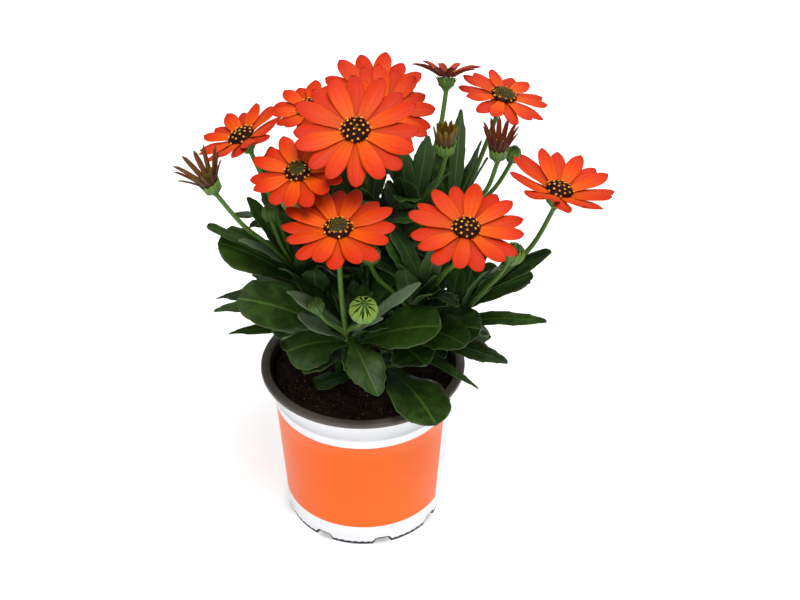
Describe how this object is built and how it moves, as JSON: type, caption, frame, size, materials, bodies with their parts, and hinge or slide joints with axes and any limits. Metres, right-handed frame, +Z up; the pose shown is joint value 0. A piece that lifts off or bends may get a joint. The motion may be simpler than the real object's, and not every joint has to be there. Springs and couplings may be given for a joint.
{
  "type": "potted osteospermum",
  "caption": "Flowering osteospermum with orange-red daisy blooms, buds and toothed green leaves, growing in a tapered plastic nursery pot.",
  "frame": {"origin": "centre of the pot's flat base, on the surface that it stands on", "axes": "+Z up, +X to the viewer's right in the picture, +Y away from the viewer"},
  "size_m": [0.2311, 0.1798, 0.2991],
  "materials": {
    "pot_plastic": "white moulded plastic with a plain orange band and a dark rim",
    "peat": "rough dark peat with fine fibres and pale specks",
    "green": "leathery green leaf with paler midrib and underside",
    "petal": "satin orange-red petal with fine lengthwise veins and a dark underside",
    "bud_petal": "dark reddish-brown rolled petal",
    "disc": "dark purple-brown florets with orange-yellow anthers"
  },
  "bodies": {
    "root": {"pot": "pot_plastic", "soil": "peat", "stem_front": "green", "stem_front_right": "green", "stem_left": "green", "stem_centre_left": "green", "stem_right": "green", "stem_back_right": "green", "stem_centre_right": "green", "stem_centre": "green", "stem_back_left": "green", "shoot_left": "green", "shoot_back": "green", "shoot_right": "green", "bloom_1_petals": "petal", "bloom_1_disc": "disc", "bloom_2_petals": "petal", "bloom_2_disc": "disc", "bloom_3_petals": "petal", "bloom_3_disc": "disc", "bloom_4_petals": "petal", "bloom_4_disc": "disc", "bloom_5_petals": "petal", "bloom_5_disc": "disc", "bloom_6_petals": "petal", "bloom_6_disc": "disc", "bloom_7_petals": "petal", "bloom_7_disc": "disc", "bloom_8_petals": "petal", "bloom_8_disc": "disc", "bloom_9_petals": "petal", "bloom_9_disc": "disc", "bloom_10_petals": "petal", "bloom_10_disc": "disc", "bloom_11_petals": "bud_petal", "bloom_11_disc": "disc", "opening_1_petals": "bud_petal", "opening_1_disc": "disc", "opening_2_petals": "bud_petal", "opening_2_disc": "disc", "opening_3_petals": "bud_petal", "opening_3_disc": "disc"}
  },
  "joints": []
}
